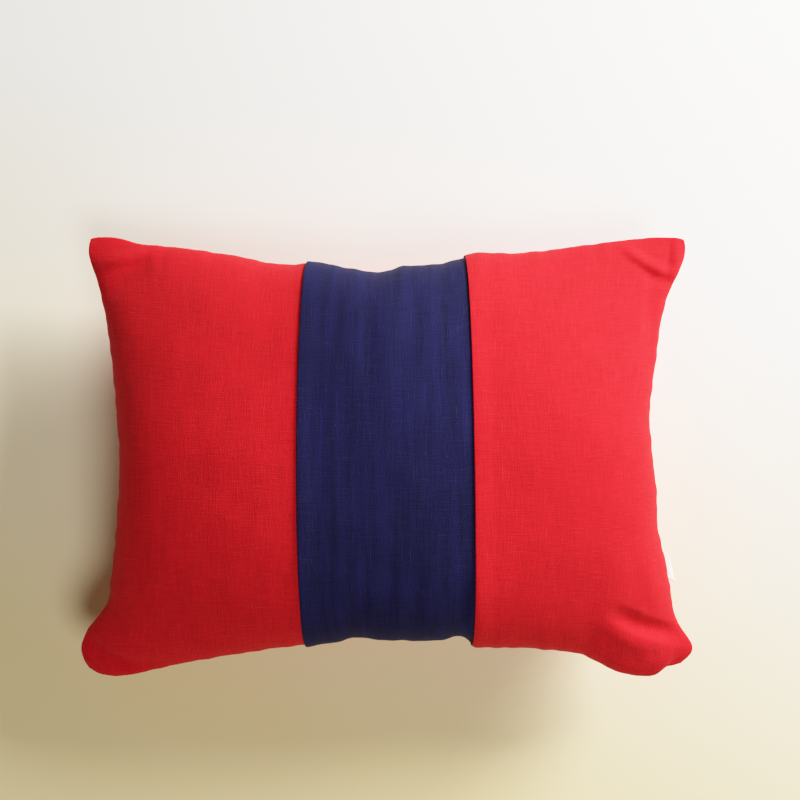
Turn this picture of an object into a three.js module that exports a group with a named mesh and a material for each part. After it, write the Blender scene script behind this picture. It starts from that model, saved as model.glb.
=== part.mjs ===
// Lumbar pillow that lies on its back: a filled cotton cover with a band sewn across its front.
// Millimetres. +X runs along the pillow, +Y towards its top edge and +Z out of its front.

import * as THREE from "three";

// Stuffed cover, from tip to tip
const HALF_LENGTH = 197;
const HALF_WIDTH = 142.5;

// Heights over and under the seam that runs round the pillow
const CROWN = 66;
const BACK_DEPTH = 68;
const REST_DEPTH = 50;
const REST_EASE = 10;

// Cloth, and the clearance between two pieces
const CLOTH = 1;
const CLEAR = 0.3;

// Band across the front, and how far one panel lies over the next
const BAND_LEFT = -51.3;
const BAND_RIGHT = 52.5;
const LAP = 12;
const LAP_END = 0.8;
const LAP_RAMP = 3;

// The band's sewn edges are not quite straight
const LEFT_EDGE_BOW = 1.5;
const RIGHT_EDGE_LEAN = 2.2;
const EDGE_REACH = 0.4;

// Fullness: how steeply the cloth rises from the seam, and how thin the corners are
const ARCH_POWER = 0.34;
const EAR_POWER = 1.5;
const LOBE_POWER = 2.4;

// Share of the full height from which a crease has its whole depth, and its share at the back
const CREASE_HOLD = 0.25;
const BACK_CREASE = 0.5;

// How far into the pillow the drawn-in sides are felt
const DRAW_START = 1 / 3;
const DRAW_POWER = 2.5;

// Rounding of the two upper tips: how far it reaches, and how far in the tip lies
const TIP_REACH = 9;
const TIP_IN = 1.3;

// Bare tab sewn into the right-hand seam
const LABEL_TOP = -61;
const LABEL_BOTTOM = -82;
const LABEL_REACH = 6;
const LABEL_THICK = 1.2;
const LABEL_STEPS = 6;

// Grid of the faces
const ROWS = 34;
const SIDE_COLUMNS = 15;
const LAP_COLUMNS = 1;
const BAND_COLUMNS = 8;
const NEAR_RIM = 0.992;
const STEP = 1e-4;
const RIM_TILT = 0.31;

// Seam of each side: at is the place along the side, from -1 to 1, and in is how far the
// seam lies inside the straight line between the tips
const SEAM = {
  left: [
    { at: -1, in: 4.2 },
    { at: -0.96, in: 1 },
    { at: -0.9, in: -0.7 },
    { at: -0.845, in: 1.3 },
    { at: -0.806, in: 4.2 },
    { at: -0.768, in: 8.2 },
    { at: -0.72, in: 13.2 },
    { at: -0.66, in: 18.4 },
    { at: -0.56, in: 20.6 },
    { at: -0.38, in: 24.6 },
    { at: -0.02, in: 28.6 },
    { at: 0.2, in: 25.6 },
    { at: 0.36, in: 22.8 },
    { at: 0.6, in: 17 },
    { at: 0.79, in: 10.2 },
    { at: 0.91, in: 4.4 },
    { at: 1, in: 4 },
  ],
  right: [
    { at: -1, in: 5.5 },
    { at: -0.95, in: -0.9 },
    { at: -0.91, in: -1.8 },
    { at: -0.866, in: 1.2 },
    { at: -0.825, in: 5.2 },
    { at: -0.785, in: 8 },
    { at: -0.72, in: 11.6 },
    { at: -0.6, in: 14.2 },
    { at: -0.45, in: 18.8 },
    { at: -0.3, in: 24 },
    { at: -0.18, in: 24.4 },
    { at: 0, in: 27.4 },
    { at: 0.2, in: 29 },
    { at: 0.44, in: 23.6 },
    { at: 0.62, in: 19.2 },
    { at: 0.74, in: 14 },
    { at: 0.85, in: 6.6 },
    { at: 0.92, in: 3 },
    { at: 1, in: 2.2 },
  ],
  bottom: [
    { at: -1, in: 5 },
    { at: -0.965, in: 1.4 },
    { at: -0.93, in: 0.1 },
    { at: -0.89, in: -0.1 },
    { at: -0.81, in: 2.4 },
    { at: -0.68, in: 8.6 },
    { at: -0.48, in: 16.4 },
    { at: -0.3, in: 22.4 },
    { at: -0.18, in: 24.6 },
    { at: -0.09, in: 28.2 },
    { at: -0.02, in: 26.4 },
    { at: 0.16, in: 26.2 },
    { at: 0.235, in: 28.8 },
    { at: 0.28, in: 22.4 },
    { at: 0.45, in: 20.2 },
    { at: 0.64, in: 15.2 },
    { at: 0.7, in: 9.4 },
    { at: 0.77, in: 3 },
    { at: 0.86, in: -0.3 },
    { at: 0.905, in: 0.6 },
    { at: 0.943, in: 5.4 },
    { at: 0.97, in: 6.4 },
    { at: 1, in: 8 },
  ],
  top: [
    { at: -1, in: 0.2 },
    { at: -0.9, in: 0.9 },
    { at: -0.82, in: 4.8 },
    { at: -0.68, in: 7.6 },
    { at: -0.5, in: 13 },
    { at: -0.35, in: 19 },
    { at: -0.22, in: 18.6 },
    { at: -0.03, in: 24.6 },
    { at: 0.06, in: 20.8 },
    { at: 0.19, in: 18.8 },
    { at: 0.26, in: 15 },
    { at: 0.31, in: 12 },
    { at: 0.45, in: 11.4 },
    { at: 0.7, in: 4.8 },
    { at: 0.88, in: 0.8 },
    { at: 1, in: 0.8 },
  ],
};

// Main creases and ridges of the front at the corners. Each is a curve in plan that starts towards
// x1, y1, bends towards x2, y2 and ends towards x3, y3. A rise below zero is a crease
const CREASES = [
  { x1: 138, y1: -92, x2: 160, y2: -108, x3: 212, y3: -122, width: 8, rise: -4 },
  { x1: 138, y1: -104, x2: 160, y2: -124, x3: 204, y3: -121, width: 8, rise: 1.2 },
  { x1: 116, y1: -104, x2: 148, y2: -122, x3: 176, y3: -146, width: 10, rise: -1.2 },
  { x1: 160, y1: -54, x2: 168, y2: -98, x3: 198, y3: -106, width: 12, rise: 1.2 },
  { x1: -210, y1: -96, x2: -184, y2: -143, x3: -134, y3: -131, width: 8, rise: -6.5 },
  { x1: -206, y1: -118, x2: -192, y2: -150, x3: -154, y3: -144, width: 8, rise: 6.5 },
  { x1: 191, y1: 156, x2: 191, y2: 134, x3: 186, y3: 112, width: 7, rise: 14 },
  { x1: 150, y1: 139, x2: 166, y2: 117, x3: 200, y3: 116, width: 6, rise: 4.5 },
  { x1: 160, y1: 120, x2: 172, y2: 112, x3: 196, y3: 109, width: 6, rise: -1.6 },
  { x1: 171, y1: 128, x2: 168, y2: 98, x3: 164, y3: 48, width: 8, rise: -1.6 },
  { x1: -148, y1: 124, x2: -170, y2: 116, x3: -194, y3: 96, width: 12, rise: -2.2 },
  { x1: -142, y1: 134, x2: -170, y2: 127, x3: -202, y3: 120, width: 7, rise: 4 },
];
const CREASE_STEPS = 8;

const RED = { color: 0xc81f2c, roughness: 0.9, metalness: 0 };
const NAVY = { color: 0x25245a, roughness: 0.9, metalness: 0 };
const WHITE = { color: 0xf2f2ee, roughness: 0.8, metalness: 0 };

// Smooth value between the rows of a seam table
function seamInset(rows, at) {
  let k = 0;
  while (k < rows.length - 2 && at > rows[k + 1].at) {
    k += 1;
  }
  const slope = (i) => {
    const before = rows[Math.max(i - 1, 0)];
    const after = rows[Math.min(i + 1, rows.length - 1)];
    return (after.in - before.in) / (after.at - before.at);
  };
  const span = rows[k + 1].at - rows[k].at;
  const t = THREE.MathUtils.clamp((at - rows[k].at) / span, 0, 1);
  const start = rows[k].in * (1 + 2 * t) * (1 - t) ** 2;
  const end = rows[k + 1].in * (3 - 2 * t) * t ** 2;
  const turn = slope(k) * t * (1 - t) ** 2 - slope(k + 1) * t ** 2 * (1 - t);
  return start + end + span * turn;
}

// Soft hump that is 1 at zero and nothing from 1 on
function hump(distance) {
  return Math.max(0, 1 - distance * distance) ** 2;
}

// Place on the table of a point of the cover; u and v run from -1 to 1 between the seams
function plan(u, v) {
  const across = Math.max(0, (Math.abs(u) - DRAW_START) / (1 - DRAW_START)) ** DRAW_POWER;
  const side = seamInset(u < 0 ? SEAM.left : SEAM.right, v) * across;
  const end = seamInset(v < 0 ? SEAM.bottom : SEAM.top, u) * v * v;
  const bow = LEFT_EDGE_BOW * v * v * hump((u - BAND_LEFT / HALF_LENGTH) / EDGE_REACH);
  const lean = RIGHT_EDGE_LEAN * v * hump((u - BAND_RIGHT / HALF_LENGTH) / EDGE_REACH);
  const tip = TIP_REACH - HALF_LENGTH * (1 - Math.abs(u)) - HALF_WIDTH * (1 - Math.abs(v));
  const rounding = v > 0 ? TIP_IN * (Math.max(0, tip) / TIP_REACH) ** 2 : 0;
  const x = HALF_LENGTH * u - Math.sign(u) * (side + rounding) + bow - lean;
  const y = HALF_WIDTH * v - Math.sign(v) * (end + rounding);
  return { x, y };
}

// Share of the full height, from 0 at the seam to 1 at the middle
function swell(u, v) {
  const arch = ((1 - u * u) * (1 - v * v)) ** ARCH_POWER;
  const corner = 1 - Math.abs(u * v) ** (v > 0 ? EAR_POWER : LOBE_POWER);
  return arch * corner;
}

// Points along a crease
function creasePath(crease) {
  return Array.from({ length: CREASE_STEPS + 1 }, (_, k) => {
    const t = k / CREASE_STEPS;
    const blend = (start, bend, end) => (1 - t) ** 2 * start + 2 * t * (1 - t) * bend + t * t * end;
    return { x: blend(crease.x1, crease.x2, crease.x3), y: blend(crease.y1, crease.y2, crease.y3) };
  });
}

// Rise of the creases at a place in plan. Each one fades towards both of its ends
function creaseRise(x, y) {
  let rise = 0;
  for (const { width, rise: height, path } of creases) {
    let away = Infinity;
    let along = 0;
    for (let k = 0; k < CREASE_STEPS; k += 1) {
      const stepX = path[k + 1].x - path[k].x;
      const stepY = path[k + 1].y - path[k].y;
      const reach = ((x - path[k].x) * stepX + (y - path[k].y) * stepY) / (stepX * stepX + stepY * stepY);
      const t = THREE.MathUtils.clamp(reach, 0, 1);
      const distance = Math.hypot(x - path[k].x - t * stepX, y - path[k].y - t * stepY);
      along = distance < away ? (k + t) / CREASE_STEPS : along;
      away = Math.min(away, distance);
    }
    rise += height * hump(away / width) * (1 - (2 * along - 1) ** 2);
  }
  return rise;
}

const creases = CREASES.map((crease) => ({ ...crease, path: creasePath(crease) }));

// Outer face of the front
function front(u, v) {
  const { x, y } = plan(u, v);
  const full = swell(u, v);
  const held = Math.min(1, full / CREASE_HOLD);
  return new THREE.Vector3(x, y, CLEAR / 2 + CLOTH + CROWN * full + held * creaseRise(x, y));
}

// Outer face of the back, pressed flat where it rests
function back(u, v) {
  const { x, y } = plan(u, v);
  const full = swell(u, v);
  const held = Math.min(1, full / CREASE_HOLD);
  const free = BACK_DEPTH * full + BACK_CREASE * held * creaseRise(x, y);
  const into = THREE.MathUtils.clamp(free - REST_DEPTH + REST_EASE, 0, 2 * REST_EASE);
  const depth = free < REST_DEPTH + REST_EASE ? free - (into * into) / (4 * REST_EASE) : REST_DEPTH;
  return new THREE.Vector3(x, y, -CLEAR / 2 - CLOTH - depth);
}

// Outward direction of the front
function outward(u, v) {
  const a = THREE.MathUtils.clamp(u, -1 + 2 * STEP, 1 - 2 * STEP);
  const b = THREE.MathUtils.clamp(v, -1 + 2 * STEP, 1 - 2 * STEP);
  const alongU = front(a + STEP, b).sub(front(a - STEP, b));
  const alongV = front(a, b + STEP).sub(front(a, b - STEP));
  return alongU.cross(alongV).normalize();
}

// Face that lies a given height over the front, or under it where the height is below zero
function layer(u, v, height) {
  const point = front(u, v);
  const normal = outward(u, v);
  if (Math.abs(u) < 1 && Math.abs(v) < 1) {
    return point.addScaledVector(normal, height);
  }
  const lean = Math.max(Math.hypot(normal.x, normal.y), RIM_TILT);
  point.x += Math.abs(u) === 1 ? Math.sign(u) * lean * height : 0;
  point.y += Math.abs(v) === 1 ? Math.sign(v) * lean * height : 0;
  point.z += height;
  return point;
}

// Values from one place to another, closer together towards the pillow's rim
function graded(from, to, count) {
  const start = Math.asin(from);
  const end = Math.asin(to);
  return Array.from({ length: count + 1 }, (_, i) => Math.sin(start + ((end - start) * i) / count));
}

// Closed solid between an upper and a lower grid with the same rows and columns
function closedSolid(upper, lower) {
  const rows = upper.length;
  const columns = upper[0].length;
  const positions = [...upper.flat(), ...lower.flat()].flatMap((p) => [p.x, p.y, p.z]);
  const top = (j, i) => j * columns + i;
  const under = (j, i) => rows * columns + top(j, i);
  const faces = [];
  const quad = (a, b, c, d) => faces.push(a, b, c, a, c, d);
  for (let j = 0; j < rows - 1; j += 1) {
    for (let i = 0; i < columns - 1; i += 1) {
      quad(top(j, i), top(j, i + 1), top(j + 1, i + 1), top(j + 1, i));
      quad(under(j, i), under(j + 1, i), under(j + 1, i + 1), under(j, i + 1));
    }
  }
  for (let i = 0; i < columns - 1; i += 1) {
    quad(under(0, i), under(0, i + 1), top(0, i + 1), top(0, i));
    quad(top(rows - 1, i), top(rows - 1, i + 1), under(rows - 1, i + 1), under(rows - 1, i));
  }
  for (let j = 0; j < rows - 1; j += 1) {
    quad(under(j, 0), top(j, 0), top(j + 1, 0), under(j + 1, 0));
    quad(top(j, columns - 1), under(j, columns - 1), under(j + 1, columns - 1), top(j + 1, columns - 1));
  }
  const geometry = new THREE.BufferGeometry();
  geometry.setAttribute("position", new THREE.Float32BufferAttribute(positions, 3));
  geometry.setIndex(faces);
  return geometry;
}

// Columns of the whole front, with lines where each panel ends and each lap steps down
const bandLeft = BAND_LEFT / HALF_LENGTH;
const bandRight = BAND_RIGHT / HALF_LENGTH;
const leftEnd = bandLeft + LAP / HALF_LENGTH;
const rightEnd = bandRight + LAP / HALF_LENGTH;
const rampFrom = LAP_END / HALF_LENGTH;
const rampTo = (LAP_END + LAP_RAMP) / HALF_LENGTH;
const columns = [
  ...graded(-1, bandLeft, SIDE_COLUMNS),
  ...graded(bandLeft, leftEnd, LAP_COLUMNS).slice(1),
  leftEnd + rampFrom,
  leftEnd + rampTo,
  ...graded(leftEnd + rampTo, bandRight, BAND_COLUMNS).slice(1),
  ...graded(bandRight, rightEnd, LAP_COLUMNS).slice(1),
  rightEnd + rampFrom,
  rightEnd + rampTo,
  ...graded(rightEnd + rampTo, 1, SIDE_COLUMNS).slice(1),
];
const rows = graded(-1, 1, ROWS);

// Height of a lapping panel's underside: over the panel under it, then down beside it
function lapHeight(u, lapEnd) {
  const down = THREE.MathUtils.clamp((u - lapEnd - rampFrom) / (rampTo - rampFrom), 0, 1);
  return THREE.MathUtils.lerp(CLEAR, -CLOTH, down);
}

// One front panel: a sheet of cloth between two columns
function panel(from, to, underside) {
  const across = columns.filter((u) => u >= from && u <= to);
  const grid = (lift) => rows.map((v) => across.map((u) => layer(u, v, underside(u) + lift)));
  return closedSolid(grid(CLOTH), grid(0));
}

// Filling and back: under the panels in front, with a narrow ledge at the seam for their rims
function cushionBody() {
  const ledge = (u, v, z) => new THREE.Vector3(plan(u, v).x, plan(u, v).y, z);
  const bordered = (values) => [-1, ...values, 1];
  const inset = (values) => [-1, -NEAR_RIM, ...values.slice(1, -1), NEAR_RIM, 1];
  const edge = (list, k) => k === 0 || k === list.length - 1;
  const wide = bordered(columns);
  const tall = bordered(rows);
  const upper = tall.map((v, j) =>
    wide.map((u, i) =>
      edge(wide, i) || edge(tall, j) ? ledge(u, v, -CLEAR / 2) : layer(u, v, -CLOTH - CLEAR),
    ),
  );
  const lower = inset(rows).map((v) => inset(columns).map((u) => back(u, v)));
  return closedSolid(upper, lower);
}

// Tab that follows the seam and stands out of it
function sideLabel() {
  const top = LABEL_TOP / HALF_WIDTH;
  const bottom = LABEL_BOTTOM / HALF_WIDTH;
  const along = Array.from({ length: LABEL_STEPS + 1 }, (_, i) => bottom + ((top - bottom) * i) / LABEL_STEPS);
  const grid = (z) =>
    along.map((v) => {
      const { x, y } = plan(1, v);
      return [new THREE.Vector3(x + CLEAR, y, z), new THREE.Vector3(x + CLEAR + LABEL_REACH, y, z)];
    });
  return closedSolid(grid(LABEL_THICK / 2), grid(-LABEL_THICK / 2));
}

function piece(name, geometry, finish) {
  const mesh = new THREE.Mesh(geometry, new THREE.MeshStandardMaterial(finish));
  mesh.name = name;
  return mesh;
}

const pillow = new THREE.Group();
pillow.add(piece("cushion_body", cushionBody(), RED));
pillow.add(piece("left_panel", panel(-1, leftEnd, () => -CLOTH), RED));
pillow.add(piece("centre_band", panel(bandLeft, rightEnd, (u) => lapHeight(u, leftEnd)), NAVY));
pillow.add(piece("right_panel", panel(bandRight, 1, (u) => lapHeight(u, rightEnd)), RED));
pillow.add(piece("side_label", sideLabel(), WHITE));

// The pillow stands on Z = 0, centred on X and Y
const box = new THREE.Box3().setFromObject(pillow);
const middle = box.getCenter(new THREE.Vector3());
pillow.position.set(-middle.x, -middle.y, -box.min.z);

export default pillow;
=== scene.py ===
# Lumbar pillow on its back: a stuffed cotton cover in red with a navy band sewn across its front.
# The scene is in metres, in the frame of the solids. The pillow's own sizes are in millimetres,
# in the pillow's frame: +X along it, +Y towards its top edge, +Z out of its front, zero at the seam.

import math

import bpy
import numpy as np
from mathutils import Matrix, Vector


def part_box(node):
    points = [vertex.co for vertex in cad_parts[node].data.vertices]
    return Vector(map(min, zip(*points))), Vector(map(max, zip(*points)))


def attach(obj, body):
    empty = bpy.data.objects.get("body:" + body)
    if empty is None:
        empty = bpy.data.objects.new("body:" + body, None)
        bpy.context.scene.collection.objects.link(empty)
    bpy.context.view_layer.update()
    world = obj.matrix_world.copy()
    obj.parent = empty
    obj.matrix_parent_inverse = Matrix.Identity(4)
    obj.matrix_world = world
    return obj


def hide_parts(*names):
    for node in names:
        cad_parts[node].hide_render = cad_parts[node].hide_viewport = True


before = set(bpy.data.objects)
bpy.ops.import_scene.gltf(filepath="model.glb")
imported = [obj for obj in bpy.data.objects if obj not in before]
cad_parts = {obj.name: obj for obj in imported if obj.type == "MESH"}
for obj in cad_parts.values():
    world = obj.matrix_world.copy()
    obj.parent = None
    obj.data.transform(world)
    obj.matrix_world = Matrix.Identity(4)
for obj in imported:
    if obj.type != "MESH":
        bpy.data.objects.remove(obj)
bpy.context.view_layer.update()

MM = 0.001

# Stuffed cover, from tip to tip, and the flat cover that it was sewn from
HALF_LENGTH = 197
HALF_WIDTH = 142.5
FLAT_LENGTH = 406
FLAT_WIDTH = 305

# Heights over and under the seam that runs round the pillow: the crown, the back if it hung free, the
# flat of the back on which the pillow rests, and how gently the one turns into the other
CROWN = 66
BACK_DEPTH = 68
REST_DEPTH = 50
REST_EASE = 10

# Cloth, and the clearance between two pieces
CLOTH = 1
CLEAR = 0.3

# Band across the front: its two edges, how far one panel lies over the next, how much the left edge
# bows and the right edge leans, and the share of half the length over which that is felt
BAND_LEFT = -51.3
BAND_RIGHT = 52.5
LAP = 12
LEFT_EDGE_BOW = 1.5
RIGHT_EDGE_LEAN = 2.2
EDGE_REACH = 0.4

# Folded edge of a lapping panel: how proud it is, which is more than the cloth's thickness, how blunt
# its edge is, how far in its turned-under hem shows, how much further its close columns go, how far the
# cloth under it is pressed down, and over what length that ends
FOLD_RISE = 1.25
FOLD_BLUNT = 0.004
HEM = 14
HEM_SPARE = 1
SINK = 1.4
SINK_RAMP = 4

# Fullness: how steeply the cloth rises from the seam, how thin the corners are, the share of the height
# from which a crease shows in full, and the creases' share on the back
ARCH_POWER = 0.34
EAR_POWER = 1.5
LOBE_POWER = 2.4
CREASE_HOLD = 0.25
BACK_CREASE = 0.5

# How far into the pillow the drawn-in sides are felt
DRAW_START = 1 / 3
DRAW_POWER = 2.5

# Rounding of the two upper tips: how far it reaches, and how far in the tip lies
TIP_REACH = 9
TIP_IN = 1.3

# Puckers that the stitching leaves along the seam: their size, how far in they reach, how close to the
# seam they move its line, and how they fade into the corners
PUCKER_IN = 0.45
PUCKER_RISE = 0.5
PUCKER_REACH = 13
PUCKER_EDGE = 8
PUCKER_CORNER = 3

# Label: a folded tape sewn into the right-hand seam
LABEL_TOP = -61
LABEL_BOTTOM = -82
LABEL_REACH = 6
LABEL_THICK = 1.2
LABEL_TAPE = 0.45
LABEL_ROOT = 1
LABEL_TOP_SLANT = 4.5
LABEL_BOTTOM_SLANT = -2.5
LABEL_DROOP = 0.8

# Grid of the faces, the steps along a crease, the step by which a direction is measured, and the least
# lean of the cloth at the rim
ROWS = 200
SIDE_COLUMNS = 90
BAND_COLUMNS = 56
LAP_COLUMNS = 6
HEM_COLUMNS = 12
NOSE_COLUMNS = 4
BODY_ROWS = 150
BODY_COLUMNS = 170
LABEL_ROWS = 20
LABEL_COLUMNS = 8
CREASE_STEPS = 12
STEP = 1e-4
RIM_TILT = 0.31

# Camera straight over the pillow, as in the photo: its place and height over the seam, the width that
# it sees there, and its sensor
CAMERA_X = 9.1
CAMERA_Y = 36.3
CAMERA_HEIGHT = 640
VIEW_WIDTH = 520
SENSOR_WIDTH = 36

# Cotton, in millimetres: width and length of a thread and of a slub, size and reach of their waver,
# size of the grain, and spacing of the lint
THREAD = 0.85
THREAD_RUN = 16
SLUB = 1.1
SLUB_RUN = 14
WAVER_SIZE = 22
WAVER = 2.4
GRAIN = 1.1
LINT_SPACING = 9

# Middle of a noise, the values between which slubs and threads show, the lint's share of its spacing,
# the least shade, and the roughness from thin to thick threads and of the sheen
NOISE_MIDDLE = 0.5
SLUB_RANGE = (0.62, 0.85)
THREAD_RANGE = (0.6, 1.4)
LINT_SIZE = 0.045
LEAST_SHADE = 0.2
COTTON_ROUGHNESS = (0.95, 0.8)
SHEEN_ROUGHNESS = 0.5

# Relief of the cotton: the weave's and the slubs' share of it, and its depth in metres
WEAVE_HEIGHT = 0.22
SLUB_HEIGHT = 0.7
BUMP_DEPTH = 0.0003

# Tape: width of a rib in millimetres, the ribs' share of the relief, its strength, its depth in metres,
# and the tape's roughness and sheen
TAPE_RIB = 0.6
TAPE_RIB_HEIGHT = 0.5
TAPE_BUMP = 0.4
TAPE_DEPTH = 0.0001
TAPE_ROUGHNESS = 0.7
TAPE_SHEEN = 0.2

# Pieces of cloth in the order in which the weave is laid out over them, and how far it lies apart from
# one to the next, so that no two have the same slubs
CLOTH_ORDER = ["left_cloth", "band_cloth", "right_cloth", "stuffed_cover"]
CLOTH_APART = 50.0

# Looks of the cloths: base and light-thread colours, and the shares of what varies them. A patch has
# its size along and across the cloth in millimetres, and its share
RED = {
    "colour": (0.605, 0.0058, 0.0112),
    "light_thread": (0.8, 0.07, 0.1),
    "threads": 0.45,
    "slubs": 0.1,
    "patches": [((60, 45), 0.18), ((5, 60), 0.2), ((1.8, 26), 0.2), ((14, 1.3), 0.3)],
    "weave": 0.03,
    "grain": 0.3,
    "dust": 0.09,
    "lint": 0.35,
    "bump": 0.55,
    "gloss": 0.1,
    "sheen": 0.03,
    "sheen_colour": (1.0, 0.4, 0.4),
}
NAVY = {
    "colour": (0.0054, 0.0047, 0.037),
    "light_thread": (0.09, 0.1, 0.24),
    "threads": 0.45,
    "slubs": 0.1,
    "patches": [((6, 120), 1.2), ((1.8, 60), 0.9), ((20, 1.6), 0.3), ((50, 50), 0.5)],
    "weave": 0.03,
    "grain": 0.9,
    "dust": 0.06,
    "lint": 0.5,
    "bump": 0.55,
    "gloss": 0.1,
    "sheen": 0.03,
    "sheen_colour": (0.7, 0.72, 1.0),
}
WHITE = {"colour": (0.8, 0.8, 0.78), "light_thread": (0.9, 0.9, 0.88)}

# Floor: white at the back right and cream at the front left, the cream being painted warm shade on
# the side away from the window; how much the change leans, the places in metres between which it
# lies, the size and share of the faint clouds, and the distances in metres from the pillow between
# which the painted shade goes over into white again. The floor itself is round and matt
FLOOR_BACK = (0.96, 0.96, 0.93)
FLOOR_PAINTED_SHADE = (0.93, 0.76, 0.4)
FLOOR_LEAN = 0.35
FLOOR_CHANGE = (0.2, -0.22)
FLOOR_CLOUD = 0.3
FLOOR_CLOUD_SHARE = 0.3
FLOOR_FAR = (0.45, 1.1)
FLOOR_RADIUS = 2
FLOOR_CORNERS = 128
FLOOR_ROUGHNESS = 0.9

# Lights: turn from +X towards +Y and rise over the floor in degrees, distance and size in metres, and
# power in watts. All face a point over the floor. The room lights evenly, and its wall is seen beyond it
LIGHT_TARGET = 0.05
LIGHTS = {
    "window": {"turn": 40, "rise": 20, "away": 1.7, "size": 0.8, "power": 112, "colour": (1.0, 0.99, 0.97)},
    "ceiling": {"turn": -50, "rise": 62, "away": 1.8, "size": 0.8, "power": 21, "colour": (1.0, 0.98, 0.95)},
}
ROOM_COLOUR = (1.0, 0.84, 0.58)
ROOM_LIGHT = 0.14
WALL_COLOUR = (1.0, 0.97, 0.92)
WALL_LIGHT = 1.6

# Tone curve: the light at which it ends, the steps between, and the place of the curve for all colours
TONE_WHITE = 4.5
TONE_CURVE = 3
TONE_STEPS = [0.05, 0.1, 0.2, 0.35, 0.55, 0.8, 1.1, 1.5, 2, 2.6, 3.4]

# Seam of each side: place along it from -1 to 1, and how far inside the line between the tips it lies
SEAM = {
    "left": [
        (-1, 4.2),
        (-0.96, 1),
        (-0.9, -0.7),
        (-0.845, 1.3),
        (-0.806, 4.2),
        (-0.768, 8.2),
        (-0.72, 13.2),
        (-0.66, 18.4),
        (-0.56, 20.6),
        (-0.38, 24.6),
        (-0.02, 28.6),
        (0.2, 25.6),
        (0.36, 22.8),
        (0.6, 17),
        (0.79, 10.2),
        (0.91, 4.4),
        (1, 4),
    ],
    "right": [
        (-1, 5.5),
        (-0.95, -0.9),
        (-0.91, -1.8),
        (-0.866, 1.2),
        (-0.825, 5.2),
        (-0.785, 8),
        (-0.72, 11.6),
        (-0.6, 14.2),
        (-0.45, 18.8),
        (-0.3, 24),
        (-0.18, 24.4),
        (0, 27.4),
        (0.2, 29),
        (0.44, 23.6),
        (0.62, 19.2),
        (0.74, 14),
        (0.85, 6.6),
        (0.92, 3),
        (1, 2.2),
    ],
    "bottom": [
        (-1, 5),
        (-0.965, 1.4),
        (-0.93, 0.1),
        (-0.89, -0.1),
        (-0.81, 2.4),
        (-0.68, 8.6),
        (-0.48, 16.4),
        (-0.3, 22.4),
        (-0.18, 24.6),
        (-0.09, 28.2),
        (-0.02, 26.4),
        (0.16, 26.2),
        (0.235, 28.8),
        (0.28, 22.4),
        (0.45, 20.2),
        (0.64, 15.2),
        (0.7, 9.4),
        (0.77, 3),
        (0.86, -0.3),
        (0.905, 0.6),
        (0.943, 5.4),
        (0.97, 6.4),
        (1, 8),
    ],
    "top": [
        (-1, 0.2),
        (-0.9, 0.9),
        (-0.82, 4.8),
        (-0.68, 7.6),
        (-0.5, 13),
        (-0.35, 19),
        (-0.22, 18.6),
        (-0.03, 24.6),
        (0.06, 20.8),
        (0.19, 18.8),
        (0.26, 15),
        (0.31, 12),
        (0.45, 11.4),
        (0.7, 4.8),
        (0.88, 0.8),
        (1, 0.8),
    ],
}

# Creases and ridges of the front. Each is a curve in plan from its start, bent towards its bend, to
# its end, with half its width and its rise, which is below zero in a crease
CREASES = [
    {"start": (138, -92), "bend": (160, -108), "end": (212, -122), "width": 8, "rise": -4},
    {"start": (138, -104), "bend": (160, -124), "end": (204, -121), "width": 8, "rise": 1.2},
    {"start": (116, -104), "bend": (148, -122), "end": (176, -146), "width": 10, "rise": -1.2},
    {"start": (160, -54), "bend": (168, -98), "end": (198, -106), "width": 12, "rise": 1.2},
    {"start": (-210, -96), "bend": (-184, -143), "end": (-134, -131), "width": 8, "rise": -6.5},
    {"start": (-206, -118), "bend": (-192, -150), "end": (-154, -144), "width": 8, "rise": 6.5},
    {"start": (191, 156), "bend": (191, 134), "end": (186, 112), "width": 7, "rise": 14},
    {"start": (150, 139), "bend": (166, 117), "end": (200, 116), "width": 6, "rise": 4.5},
    {"start": (160, 120), "bend": (172, 112), "end": (196, 109), "width": 6, "rise": -1.6},
    {"start": (171, 128), "bend": (168, 98), "end": (164, 48), "width": 8, "rise": -1.6},
    {"start": (-148, 124), "bend": (-170, 116), "end": (-194, 96), "width": 12, "rise": -2.2},
    {"start": (-142, 134), "bend": (-170, 127), "end": (-202, 120), "width": 7, "rise": 4},
    {"start": (-9, 110), "bend": (-10, 76), "end": (-8, 20), "width": 7, "rise": -0.6},
    {"start": (14, 112), "bend": (20, 84), "end": (8, 34), "width": 10, "rise": -0.8},
    {"start": (3, -52), "bend": (2, -90), "end": (-1, -132), "width": 8, "rise": -0.6},
    {"start": (19, -56), "bend": (18, -95), "end": (14, -132), "width": 8, "rise": -0.6},
]

# Waves of the seam's puckers: length along the seam, start of the wave in radians, and share
PUCKERS = [
    (10.7, 0.4, 0.3),
    (16.3, 2.1, 0.4),
    (27.1, 4.0, 0.3),
]

# Uneven filling: direction of each wave in radians, its length, its start in radians, and its rise
LUMPS = [
    {"turn": 0.3, "length": 94, "start": 0.7, "rise": 0.3},
    {"turn": 1.9, "length": 71, "start": 2.9, "rise": 0.25},
    {"turn": 1.1, "length": 38, "start": 1.7, "rise": 0.08},
    {"turn": 2.6, "length": 33, "start": 5.1, "rise": 0.07},
    {"turn": 0.1, "length": 23, "start": 3.6, "rise": 0.04},
    {"turn": 2.2, "length": 19, "start": 0.2, "rise": 0.03},
]


# Shape of the cover


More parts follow.
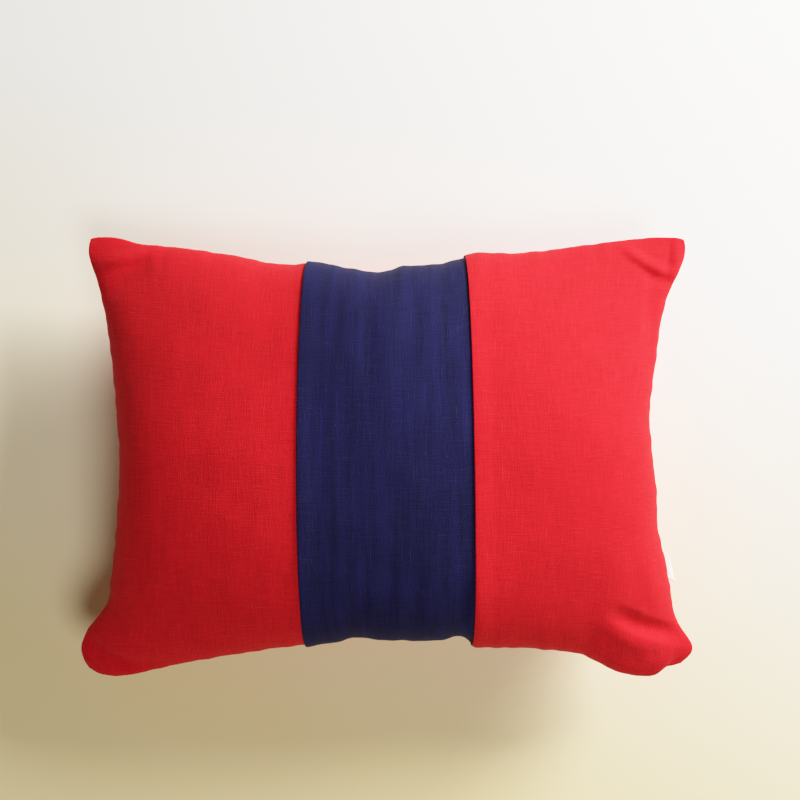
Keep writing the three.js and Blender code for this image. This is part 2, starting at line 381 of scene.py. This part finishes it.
def seam_inset(side, at):
    """Smooth value between the rows of a seam table."""
    place, inset = np.array(SEAM[side], float).T
    before = np.r_[0, 0 : len(place) - 1]
    after = np.r_[1 : len(place), len(place) - 1]
    slope = (inset[after] - inset[before]) / (place[after] - place[before])
    k = np.clip(np.searchsorted(place, at, side="left") - 1, 0, len(place) - 2)
    span = place[k + 1] - place[k]
    t = np.clip((at - place[k]) / span, 0, 1)
    start = inset[k] * (1 + 2 * t) * (1 - t) ** 2
    end = inset[k + 1] * (3 - 2 * t) * t**2
    turn = slope[k] * t * (1 - t) ** 2 - slope[k + 1] * t**2 * (1 - t)
    return start + end + span * turn


def hump(distance):
    """Soft hump that is 1 at zero and nothing from 1 on."""
    return np.maximum(0, 1 - distance**2) ** 2


def smooth(t):
    """Soft step from 0 to 1."""
    t = np.clip(t, 0, 1)
    return t * t * (3 - 2 * t)


def puckers(u, v):
    """Small waves beside the seam, from -1 to 1, and nothing further in."""
    total = np.zeros(np.broadcast(u, v).shape)
    for along, across, half in [(u * HALF_LENGTH, v, HALF_WIDTH), (v * HALF_WIDTH, u, HALF_LENGTH)]:
        fade = np.exp(-(1 - np.abs(across)) * half / PUCKER_REACH)
        side = np.sign(across)
        for length, start, share in PUCKERS:
            total = total + share * fade * np.sin(2 * math.pi * along / length + start + side)
    return total * (1 - np.abs(u * v) ** PUCKER_CORNER)


def plan(u, v):
    """Place on the table of a point of the cover; u and v run from -1 to 1 between the seams."""
    across = np.maximum(0, (np.abs(u) - DRAW_START) / (1 - DRAW_START)) ** DRAW_POWER
    side = np.where(u < 0, seam_inset("left", v), seam_inset("right", v)) * across
    end = np.where(v < 0, seam_inset("bottom", u), seam_inset("top", u)) * v**2
    pucker = PUCKER_IN * puckers(u, v)
    bow = LEFT_EDGE_BOW * v**2 * hump((u - BAND_LEFT / HALF_LENGTH) / EDGE_REACH)
    lean = RIGHT_EDGE_LEAN * v * hump((u - BAND_RIGHT / HALF_LENGTH) / EDGE_REACH)
    tip = TIP_REACH - HALF_LENGTH * (1 - np.abs(u)) - HALF_WIDTH * (1 - np.abs(v))
    rounding = TIP_IN * (np.maximum(0, tip) / TIP_REACH) ** 2 * (v > 0)
    x = HALF_LENGTH * u - np.sign(u) * (side + rounding - pucker * u**PUCKER_EDGE) + bow - lean
    y = HALF_WIDTH * v - np.sign(v) * (end + rounding - pucker * v**PUCKER_EDGE)
    return x, y


def swell(u, v):
    """Share of the full height, from 0 at the seam to 1 at the middle."""
    arch = (np.maximum(0, 1 - u**2) * np.maximum(0, 1 - v**2)) ** ARCH_POWER
    power = np.where(v > 0, EAR_POWER, LOBE_POWER)
    return arch * (1 - np.abs(u * v) ** power)


def crease_path(crease):
    """Points along a crease."""
    t = np.linspace(0, 1, CREASE_STEPS + 1)[:, None]
    start, bend, end = (np.array(crease[key], float) for key in ("start", "bend", "end"))
    return (1 - t) ** 2 * start + 2 * t * (1 - t) * bend + t**2 * end


def crease_rise(x, y):
    """Rise of the creases at a place in plan. Each one fades towards both of its ends."""
    rise = np.zeros(x.shape)
    for crease in CREASES:
        path = crease_path(crease)
        low = path.min(axis=0) - crease["width"]
        high = path.max(axis=0) + crease["width"]
        near = (x > low[0]) & (x < high[0]) & (y > low[1]) & (y < high[1])
        point = np.stack([x[near], y[near]], axis=-1)
        away = np.full(len(point), np.inf)
        place = np.zeros(len(point))
        for k in range(CREASE_STEPS):
            along = path[k + 1] - path[k]
            t = np.clip((point - path[k]) @ along / along.dot(along), 0, 1)
            distance = np.linalg.norm(point - path[k] - t[:, None] * along, axis=-1)
            place = np.where(distance < away, (k + t) / CREASE_STEPS, place)
            away = np.minimum(away, distance)
        rise[near] += crease["rise"] * hump(away / crease["width"]) * (1 - (2 * place - 1) ** 2)
    return rise


def lumps(x, y):
    """Rise of the uneven filling at a place in plan."""
    rise = np.zeros(x.shape)
    for wave in LUMPS:
        along = x * math.cos(wave["turn"]) + y * math.sin(wave["turn"])
        rise += wave["rise"] * np.sin(2 * math.pi * along / wave["length"] + wave["start"])
    return rise


def turned_in(u, v):
    """Rounding of the cloth where it turns in at the seam: 0 on the seam, 1 from a cloth's thickness on."""
    inside = np.minimum((1 - np.abs(u)) * HALF_LENGTH, (1 - np.abs(v)) * HALF_WIDTH)
    return np.sqrt(1 - (1 - np.clip(inside / CLOTH, 0, 1)) ** 2)


def front(u, v):
    """Outer face of the front."""
    x, y = plan(u, v)
    full = swell(u, v)
    held = np.minimum(1, full / CREASE_HOLD)
    relief = crease_rise(x, y) + lumps(x, y) + PUCKER_RISE * puckers(u, v)
    z = CLEAR / 2 + CLOTH * turned_in(u, v) + CROWN * full + held * relief
    return np.stack([x, y, z], axis=-1)


def back(u, v):
    """Outer face of the back, pressed flat where it rests."""
    x, y = plan(u, v)
    full = swell(u, v)
    held = np.minimum(1, full / CREASE_HOLD)
    relief = BACK_CREASE * crease_rise(x, y) + lumps(y, x) + PUCKER_RISE * puckers(u, v)
    free = BACK_DEPTH * full + held * relief
    into = np.clip(free - REST_DEPTH + REST_EASE, 0, 2 * REST_EASE)
    depth = np.where(free < REST_DEPTH + REST_EASE, free - into**2 / (4 * REST_EASE), REST_DEPTH)
    return np.stack([x, y, -CLEAR / 2 - CLOTH * turned_in(u, v) - depth], axis=-1)


def outward(u, v):
    """Outward direction of the front."""
    a = np.clip(u, -1 + 2 * STEP, 1 - 2 * STEP)
    b = np.clip(v, -1 + 2 * STEP, 1 - 2 * STEP)
    along_u = front(a + STEP, b) - front(a - STEP, b)
    along_v = front(a, b + STEP) - front(a, b - STEP)
    normal = np.cross(along_u, along_v)
    return normal / np.linalg.norm(normal, axis=-1, keepdims=True)


def layer(u, v, height):
    """Face that lies a given height over the front, or under it where the height is below zero."""
    point = front(u, v)
    normal = outward(u, v)
    height = np.broadcast_to(height, u.shape)
    lean = np.maximum(np.hypot(normal[..., 0], normal[..., 1]), RIM_TILT) * height
    seam_u = np.abs(u) == 1
    seam_v = np.abs(v) == 1
    at_seam = seam_u | seam_v
    rim = point + np.stack([np.sign(u) * seam_u * lean, np.sign(v) * seam_v * lean, height + CLOTH], axis=-1)
    rim[..., 2] = np.where(height < 0, rim[..., 2], point[..., 2] + height)
    return np.where(at_seam[..., None], rim, point + normal * height[..., None])


# Meshes


def graded(start, end, count):
    """Values from one place to another, closer together towards the pillow's rim."""
    return np.sin(np.linspace(math.asin(start), math.asin(end), count + 1))


def closed_sheet(upper, lower):
    """Corners and faces of the closed solid between an upper and a lower grid."""
    rows, columns = upper.shape[:2]
    corners = np.concatenate([upper.reshape(-1, 3), lower.reshape(-1, 3)])
    top = np.arange(rows * columns).reshape(rows, columns)
    under = top + rows * columns

    def quads(a, b, c, d):
        return np.stack([a, b, c, d], axis=-1).reshape(-1, 4)

    faces = [
        quads(top[:-1, :-1], top[:-1, 1:], top[1:, 1:], top[1:, :-1]),
        quads(under[:-1, :-1], under[1:, :-1], under[1:, 1:], under[:-1, 1:]),
        quads(under[0, :-1], under[0, 1:], top[0, 1:], top[0, :-1]),
        quads(top[-1, :-1], top[-1, 1:], under[-1, 1:], under[-1, :-1]),
        quads(under[:-1, 0], top[:-1, 0], top[1:, 0], under[1:, 0]),
        quads(top[:-1, -1], under[:-1, -1], under[1:, -1], top[1:, -1]),
    ]
    return corners, np.concatenate(faces)


def add_piece(name, upper, lower, cloth_place, material):
    """Closed sheet of cloth as an object, with each corner's place on its flat cloth in millimetres."""
    corners, faces = closed_sheet(upper, lower)
    places = np.concatenate([cloth_place.reshape(-1, 3), cloth_place.reshape(-1, 3)])
    mesh = bpy.data.meshes.new(name)
    mesh.from_pydata(((corners + seam_centre) * MM).tolist(), [], faces.tolist())
    mesh.attributes.new("cloth", "FLOAT_VECTOR", "POINT")
    mesh.attributes["cloth"].data.foreach_set("vector", places.astype(np.float32).ravel())
    mesh.shade_smooth()
    mesh.materials.append(material)
    piece = bpy.data.objects.new(name, mesh)
    bpy.context.scene.collection.objects.link(piece)
    return piece


def flat_place(name, u, v):
    """Place of a point of the cover on its flat cloth, in millimetres; each piece has its own level."""
    level = np.full(u.shape, CLOTH_APART * CLOTH_ORDER.index(name))
    return np.stack([u * FLAT_LENGTH / 2, v * FLAT_WIDTH / 2, level], axis=-1)


# The pillow's own frame has its middle between the tips, and the solids' frame has it in their box
box_low, box_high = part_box("cushion_body")
edge_u, edge_v = np.meshgrid(graded(-1, 1, BODY_COLUMNS), graded(-1, 1, BODY_ROWS))
plan_x, plan_y = plan(edge_u, edge_v)
seam_centre = np.array(
    [
        (box_low.x + box_high.x) / 2 / MM - (plan_x.min() + plan_x.max()) / 2,
        (box_low.y + box_high.y) / 2 / MM - (plan_y.min() + plan_y.max()) / 2,
        CLEAR / 2 + CLOTH + REST_DEPTH,
    ]
)

# Columns of the front, where each panel ends
band_left = BAND_LEFT / HALF_LENGTH
band_right = BAND_RIGHT / HALF_LENGTH
left_end = band_left + LAP / HALF_LENGTH
right_end = band_right + LAP / HALF_LENGTH
rows = graded(-1, 1, ROWS)


def folded_columns(start):
    """Columns close together over the round of a folded edge and over its hem."""
    turn = np.linspace(0, math.pi / 2, NOSE_COLUMNS + 1)
    nose = start + (1 - np.cos(turn)) * CLOTH / 2 / HALF_LENGTH
    hem_end = start + (HEM + HEM_SPARE) / HALF_LENGTH
    return np.concatenate([nose, np.linspace(nose[-1], hem_end, HEM_COLUMNS + 1)[1:]])


def over_fold(u, start):
    """Top and underside of a lapping panel over the front: proud at its fold, then level."""
    inside = (u - start) * HALF_LENGTH
    rounding = np.clip(inside / (CLOTH / 2), 0, 1)
    half = CLOTH / 2 * np.sqrt(np.maximum(1 - (1 - rounding) ** 2, FOLD_BLUNT))
    middle = FOLD_RISE * (1 - smooth(inside / HEM)) - CLOTH / 2
    return middle + half, middle - half


def under_fold(u, start, end):
    """How far the cloth under a fold is pressed down, from the fold to the end of the lap."""
    inside = (u - start) * HALF_LENGTH
    beyond = (u - end) * HALF_LENGTH
    return SINK * smooth(inside / HEM) * (1 - smooth(beyond / SINK_RAMP))


def panel(name, columns, faces, material):
    """One front panel: a sheet of cloth over the columns given."""
    u, v = np.meshgrid(columns, rows)
    top, underside = faces(u)
    return add_piece(name, layer(u, v, top), layer(u, v, underside), flat_place(name, u, v), material)


def left_faces(u):
    """Left panel: level, and pressed down under the band's fold."""
    down = under_fold(u, band_left, left_end)
    return -down, -CLOTH - down


def band_faces(u):
    """Band: its own fold at the left, pressed down under the right panel's fold."""
    top, underside = over_fold(u, band_left)
    down = under_fold(u, band_right, right_end)
    return top - down, underside - down


def right_faces(u):
    """Right panel: its own fold at the left."""
    return over_fold(u, band_right)


def cushion(material):
    """Filling and back: under the panels in front, with a narrow ledge at the seam for their rims."""
    columns = graded(-1, 1, BODY_COLUMNS)
    body_rows = graded(-1, 1, BODY_ROWS)
    u, v = np.meshgrid(np.r_[-1, columns, 1], np.r_[-1, body_rows, 1])
    down = under_fold(u, band_left, left_end) + under_fold(u, band_right, right_end)
    upper = layer(u, v, -CLOTH - CLEAR - down)
    edge = np.ones(u.shape, bool)
    edge[1:-1, 1:-1] = False
    rim_x, rim_y = plan(u, v)
    upper[edge] = np.stack([rim_x, rim_y, np.zeros_like(rim_x)], axis=-1)[edge]
    back_u, back_v = np.meshgrid(ringed(columns), ringed(body_rows))
    name = "stuffed_cover"
    return add_piece(name, upper, back(back_u, back_v), flat_place(name, back_u, back_v), material)


def ringed(values):
    """The same places with one more ring just inside the rim."""
    ring = (values[0] + values[1]) / 2
    return np.r_[values[0], ring, values[1:-1], -ring, values[-1]]


def side_label(material):
    """Label: tape folded over once, its cut ends slanting a little, its two layers sewn into the seam."""
    half_gap = LABEL_THICK / 2
    turn = np.linspace(math.pi / 2, -math.pi / 2, LABEL_COLUMNS + 1)
    run = np.linspace(-LABEL_ROOT, LABEL_REACH - half_gap, LABEL_COLUMNS, endpoint=False)

    def profile(radius):
        out = np.r_[run, LABEL_REACH - half_gap + radius * np.cos(turn), run[::-1]]
        up = np.r_[np.full(len(run), radius), radius * np.sin(turn), np.full(len(run), -radius)]
        return out, up

    along = np.linspace(0, 1, LABEL_ROWS + 1)[:, None]
    bottom = LABEL_BOTTOM / HALF_WIDTH
    top = LABEL_TOP / HALF_WIDTH
    seam_x, seam_y = plan(np.ones(along.shape), bottom + (top - bottom) * along)
    faces = []
    for radius in (half_gap, half_gap - LABEL_TAPE):
        out, up = profile(radius)
        share = np.clip(out / LABEL_REACH, 0, 1)
        slant = LABEL_BOTTOM_SLANT * (1 - along) - LABEL_TOP_SLANT * along
        y = seam_y + slant * share
        z = up - LABEL_DROOP * share**2 * np.sin(math.pi * along) + CLEAR / 2
        faces.append(np.stack(np.broadcast_arrays(seam_x + out, y, z), axis=-1))
    outer, inner = faces
    return add_piece("tape_label", outer, inner, outer, material)


# Materials


class Nodes:
    """Short way to add nodes to a material and link them."""

    def __init__(self, name):
        self.material = bpy.data.materials.new(name)
        self.material.use_nodes = True
        self.tree = self.material.node_tree
        self.shader = self.tree.nodes["Principled BSDF"]

    def add(self, kind, inputs=(), **settings):
        """New node with its settings; an input is a socket to link or a plain value."""
        node = self.tree.nodes.new(kind)
        for key, value in settings.items():
            setattr(node, key, value)
        for key, value in dict(inputs).items():
            self.put(node.inputs[key], value)
        return node

    def put(self, socket, value):
        """Link a socket into an input, or set the input's value."""
        if isinstance(value, bpy.types.NodeSocket):
            self.tree.links.new(value, socket)
        else:
            socket.default_value = value

    def math(self, operation, first, second=0.0, third=0.0):
        """Arithmetic on one to three values."""
        return self.add("ShaderNodeMath", {0: first, 1: second, 2: third}, operation=operation).outputs[0]

    def vector(self, operation, first, second):
        """Arithmetic on two vectors."""
        return self.add("ShaderNodeVectorMath", {0: first, 1: second}, operation=operation).outputs[0]

    def noise(self, place, size, detail=2.0):
        """Noise from 0 to 1 whose grains have a size in millimetres along and across the cloth."""
        scaled = self.vector("DIVIDE", place, (size[0], size[1], 1))
        inputs = {"Vector": scaled, "Scale": 1.0, "Detail": detail}
        return self.add("ShaderNodeTexNoise", inputs).outputs["Fac"]

    def spread(self, value, low, high, start=0.0, end=1.0):
        """Value moved from one range to another, and held at its ends."""
        inputs = {"Value": value, "From Min": low, "From Max": high, "To Min": start, "To Max": end}
        return self.add("ShaderNodeMapRange", inputs).outputs["Result"]

    def colour(self, rgb):
        """Plain colour as a socket."""
        node = self.add("ShaderNodeRGB")
        node.outputs[0].default_value = (*rgb, 1)
        return node.outputs[0]

    def mix(self, factor, first, second):
        """Blend of two colours."""
        node = self.add("ShaderNodeMix", data_type="RGBA")
        for socket, value in zip((node.inputs[0], node.inputs[6], node.inputs[7]), (factor, first, second)):
            self.put(socket, value)
        return node.outputs[2]


def cotton(name, look):
    """Plain-woven cotton: uneven threads both ways, thick slubs, soft clouds, streaks and bits of lint."""
    cloth = Nodes(name)
    place = cloth.add("ShaderNodeAttribute", attribute_name="cloth").outputs["Vector"]
    waver = cloth.vector("DIVIDE", place, (WAVER_SIZE, WAVER_SIZE, 1))
    waver = cloth.add("ShaderNodeTexNoise", {"Vector": waver, "Scale": 1.0, "Detail": 1.0}).outputs["Color"]
    waver = cloth.vector("SUBTRACT", waver, (NOISE_MIDDLE, NOISE_MIDDLE, NOISE_MIDDLE))
    waver = cloth.vector("MULTIPLY", waver, (WAVER, WAVER, 0))
    place = cloth.vector("ADD", place, waver)

    parts = cloth.add("ShaderNodeSeparateXYZ", {0: place}).outputs
    turns = [cloth.math("MULTIPLY", part, math.pi / THREAD) for part in (parts[0], parts[1])]
    over = [cloth.math("SINE", turn) for turn in turns]
    weave = cloth.math("MULTIPLY", over[0], over[1])
    weft = cloth.noise(place, (THREAD_RUN, THREAD))
    warp = cloth.noise(place, (THREAD, THREAD_RUN))
    slub_weft = cloth.spread(cloth.noise(place, (SLUB_RUN, SLUB), 1.0), *SLUB_RANGE)
    slub_warp = cloth.spread(cloth.noise(place, (SLUB, SLUB_RUN), 1.0), *SLUB_RANGE)
    slubs = cloth.math("MAXIMUM", slub_weft, slub_warp)
    threads = cloth.math("ADD", weft, warp)

    uneven = cloth.math("SUBTRACT", threads, 2 * NOISE_MIDDLE)
    shade = cloth.math("MULTIPLY_ADD", uneven, look["threads"], 1.0)
    shade = cloth.math("MULTIPLY_ADD", slubs, look["slubs"], shade)
    for size, share in look["patches"]:
        patch = cloth.math("SUBTRACT", cloth.noise(place, size), NOISE_MIDDLE)
        shade = cloth.math("MULTIPLY_ADD", patch, share, shade)
    shade = cloth.math("MULTIPLY_ADD", weave, look["weave"], shade)
    grain = cloth.math("SUBTRACT", cloth.noise(place, (GRAIN, GRAIN), 1.0), NOISE_MIDDLE)
    shade = cloth.math("MULTIPLY_ADD", grain, look["grain"], shade)
    shade = cloth.math("MAXIMUM", shade, LEAST_SHADE)
    tint = cloth.add("ShaderNodeCombineXYZ", {0: shade, 1: shade, 2: shade}).outputs[0]
    colour = cloth.vector("MULTIPLY", cloth.colour(look["colour"]), tint)
    dust = cloth.spread(slubs, 0, 1, 0, look["dust"])
    colour = cloth.mix(dust, colour, cloth.colour(look["light_thread"]))

    bits = cloth.vector("DIVIDE", place, (LINT_SPACING, LINT_SPACING, 1))
    bits = cloth.add("ShaderNodeTexVoronoi", {"Vector": bits, "Scale": 1.0}).outputs["Distance"]
    bits = cloth.spread(bits, 0, LINT_SIZE, 1, 0)
    colour = cloth.mix(cloth.math("MULTIPLY", bits, look["lint"]), colour, cloth.colour(look["light_thread"]))

    height = cloth.math("MULTIPLY_ADD", weave, WEAVE_HEIGHT, cloth.math("ADD", threads, grain))
    height = cloth.math("MULTIPLY_ADD", slubs, SLUB_HEIGHT, height)
    bump = cloth.add("ShaderNodeBump", {"Strength": look["bump"], "Distance": BUMP_DEPTH, "Height": height})
    cloth.put(cloth.shader.inputs["Base Color"], colour)
    cloth.put(cloth.shader.inputs["Normal"], bump.outputs["Normal"])
    cloth.put(cloth.shader.inputs["Roughness"], cloth.spread(threads, *THREAD_RANGE, *COTTON_ROUGHNESS))
    cloth.shader.inputs["Specular IOR Level"].default_value = look["gloss"]
    cloth.shader.inputs["Sheen Weight"].default_value = look["sheen"]
    cloth.shader.inputs["Sheen Roughness"].default_value = SHEEN_ROUGHNESS
    cloth.shader.inputs["Sheen Tint"].default_value = (*look["sheen_colour"], 1)
    return cloth.material


def tape(name, look):
    """Close-woven tape: fine ribs across it."""
    cloth = Nodes(name)
    place = cloth.add("ShaderNodeAttribute", attribute_name="cloth").outputs["Vector"]
    parts = cloth.add("ShaderNodeSeparateXYZ", {0: place}).outputs
    ribs = cloth.math("SINE", cloth.math("MULTIPLY", parts[1], 2 * math.pi / TAPE_RIB))
    fibres = cloth.noise(place, (TAPE_RIB, TAPE_RIB))
    height = cloth.math("MULTIPLY_ADD", ribs, TAPE_RIB_HEIGHT, fibres)
    bump = cloth.add("ShaderNodeBump", {"Strength": TAPE_BUMP, "Distance": TAPE_DEPTH, "Height": height})
    colour = cloth.mix(fibres, cloth.colour(look["colour"]), cloth.colour(look["light_thread"]))
    cloth.put(cloth.shader.inputs["Base Color"], colour)
    cloth.put(cloth.shader.inputs["Normal"], bump.outputs["Normal"])
    cloth.shader.inputs["Roughness"].default_value = TAPE_ROUGHNESS
    cloth.shader.inputs["Sheen Weight"].default_value = TAPE_SHEEN
    return cloth.material


red = cotton("red_cotton", RED)
navy = cotton("navy_cotton", NAVY)
white = tape("white_tape", WHITE)

left_columns = [
    graded(-1, band_left, SIDE_COLUMNS),
    np.linspace(band_left, left_end, LAP_COLUMNS + 1)[1:],
]
left_panel = panel("left_cloth", np.concatenate(left_columns), left_faces, red)
band_fold = folded_columns(band_left)
band_columns = [
    band_fold,
    graded(band_fold[-1], band_right, BAND_COLUMNS)[1:],
    np.linspace(band_right, right_end, LAP_COLUMNS + 1)[1:],
]
centre_band = panel("band_cloth", np.concatenate(band_columns), band_faces, navy)
right_fold = folded_columns(band_right)
right_columns = [
    right_fold,
    graded(right_fold[-1], 1, SIDE_COLUMNS)[1:],
]
right_panel = panel("right_cloth", np.concatenate(right_columns), right_faces, red)
body = cushion(red)
label = side_label(white)

for piece, node, slot in [
    (body, "cushion_body", "red_cotton_back"),
    (left_panel, "left_panel", "red_cotton"),
    (centre_band, "centre_band", "navy_cotton"),
    (right_panel, "right_panel", "red_cotton"),
    (label, "side_label", "white_tape"),
]:
    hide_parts(node)
    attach(piece, "root")

# Floor: round matt card, with painted warm shade towards the front left
bpy.ops.mesh.primitive_circle_add(vertices=FLOOR_CORNERS, radius=FLOOR_RADIUS, fill_type="NGON")
floor = bpy.context.object
floor.name = "floor"
card = Nodes("floor")
card_place = card.add("ShaderNodeNewGeometry").outputs["Position"]
clouds = card.math("SUBTRACT", card.noise(card_place, (FLOOR_CLOUD, FLOOR_CLOUD)), NOISE_MIDDLE)
card_parts = card.add("ShaderNodeSeparateXYZ", {0: card_place}).outputs
# Painted shade: cream towards the front left, away from the window, with faint clouds, white again far from
# the pillow
painted_shade_share = card.spread(card.math("MULTIPLY_ADD", card_parts["X"], FLOOR_LEAN, card_parts["Y"]), *FLOOR_CHANGE)
painted_shade_share = card.math("MULTIPLY_ADD", clouds, FLOOR_CLOUD_SHARE, painted_shade_share)
distance = card.add("ShaderNodeVectorMath", {0: card_place}, operation="LENGTH").outputs["Value"]
painted_shade_share = card.math("MULTIPLY", painted_shade_share, card.spread(distance, *FLOOR_FAR, 1.0, 0.0))
card_colour = card.mix(painted_shade_share, card.colour(FLOOR_BACK), card.colour(FLOOR_PAINTED_SHADE))
card.put(card.shader.inputs["Base Color"], card_colour)
card.shader.inputs["Roughness"].default_value = FLOOR_ROUGHNESS
floor.data.materials.append(card.material)

# Camera
camera = bpy.data.objects.new("camera", bpy.data.cameras.new("camera"))
camera.data.sensor_width = SENSOR_WIDTH
camera.data.lens = SENSOR_WIDTH * CAMERA_HEIGHT / VIEW_WIDTH
camera.location = ((np.array([CAMERA_X, CAMERA_Y, CAMERA_HEIGHT]) + seam_centre) * MM).tolist()
bpy.context.scene.collection.objects.link(camera)
bpy.context.scene.camera = camera

# Lights: a low window at the upper right, soft light from overhead and a dim room with a pale wall
world = bpy.data.worlds.new("world")
world.use_nodes = True
around = world.node_tree
around.nodes.clear()
bpy.context.scene.world = world


def background(colour, strength):
    """Even light from all around."""
    node = around.nodes.new("ShaderNodeBackground")
    node.inputs["Color"].default_value = (*colour, 1)
    node.inputs["Strength"].default_value = strength
    return node.outputs["Background"]


seen = around.nodes.new("ShaderNodeLightPath").outputs["Is Camera Ray"]
choice = around.nodes.new("ShaderNodeMixShader")
room = background(ROOM_COLOUR, ROOM_LIGHT)
wall = background(WALL_COLOUR, WALL_LIGHT)
for socket, value in zip(choice.inputs, (seen, room, wall)):
    around.links.new(value, socket)
around.links.new(choice.outputs[0], around.nodes.new("ShaderNodeOutputWorld").inputs["Surface"])


def add_area(name, light_data):
    """Round area light that faces the pillow."""
    lamp = bpy.data.lights.new(name, "AREA")
    lamp.shape = "DISK"
    lamp.size = light_data["size"]
    lamp.energy = light_data["power"]
    lamp.color = light_data["colour"]
    light = bpy.data.objects.new(name, lamp)
    turn = math.radians(light_data["turn"])
    rise = math.radians(light_data["rise"])
    direction = Vector((math.cos(rise) * math.cos(turn), math.cos(rise) * math.sin(turn), math.sin(rise)))
    light.location = Vector((0, 0, LIGHT_TARGET)) + direction * light_data["away"]
    light.rotation_euler = direction.to_track_quat("Z", "Y").to_euler()
    bpy.context.scene.collection.objects.link(light)


for name, light_data in LIGHTS.items():
    add_area(name, light_data)

# Tone of the photo: even in the dark parts, with a soft shoulder towards white
view = bpy.context.scene.view_settings
view.view_transform = "Standard"
view.use_curve_mapping = True
tone = view.curve_mapping
tone.white_level = (TONE_WHITE, TONE_WHITE, TONE_WHITE)
shoulder = tone.curves[TONE_CURVE]
shoulder.points[0].location = (0, 0)
shoulder.points[1].location = (1, 1 - math.exp(-TONE_WHITE))
for light in TONE_STEPS:
    shoulder.points.new(light / TONE_WHITE, 1 - math.exp(-light))
tone.update()
